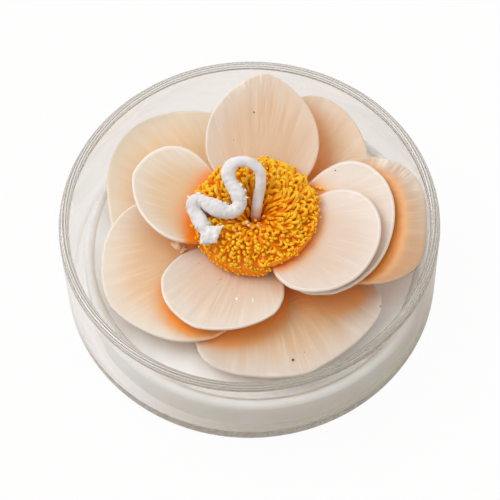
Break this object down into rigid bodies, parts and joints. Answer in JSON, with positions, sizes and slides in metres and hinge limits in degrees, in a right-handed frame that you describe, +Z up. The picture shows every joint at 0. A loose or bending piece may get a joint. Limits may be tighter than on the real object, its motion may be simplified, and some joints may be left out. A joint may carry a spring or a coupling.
{
  "type": "scented soy candle",
  "caption": "Low clear glass dish with a white wax disc, a peach wax flower on it, a yellow stamen crown and a curled cotton wick.",
  "frame": {"origin": "middle of the dish's foot, on the surface that it stands on", "axes": "+Z up, +X to the right and +Y to the back, as seen in the picture"},
  "size_m": [0.09, 0.09, 0.0353],
  "materials": {
    "clear_glass": "clear and glossy",
    "tin": "dull tinned sheet",
    "white_wax": "soft satin wax",
    "outer_petal_wax": "soft satin wax",
    "inner_petal_wax": "soft satin wax",
    "yellow_wax": "soft satin wax",
    "waxed_cotton": "cotton braid dipped in wax"
  },
  "bodies": {
    "root": {"glass_dish": "clear_glass", "wick_tab": "tin", "wax_disc": "white_wax", "wick": "waxed_cotton", "stamen_crown": "yellow_wax", "outer_petal_back_left": "outer_petal_wax", "outer_petal_front": "outer_petal_wax", "outer_petal_back_right": "outer_petal_wax", "outer_petal_left": "outer_petal_wax", "outer_petal_right": "outer_petal_wax", "inner_petal_lower_right": "inner_petal_wax", "inner_petal_left": "inner_petal_wax", "inner_petal_front": "inner_petal_wax", "inner_petal_back": "inner_petal_wax", "inner_petal_upper_right": "inner_petal_wax"}
  },
  "joints": []
}
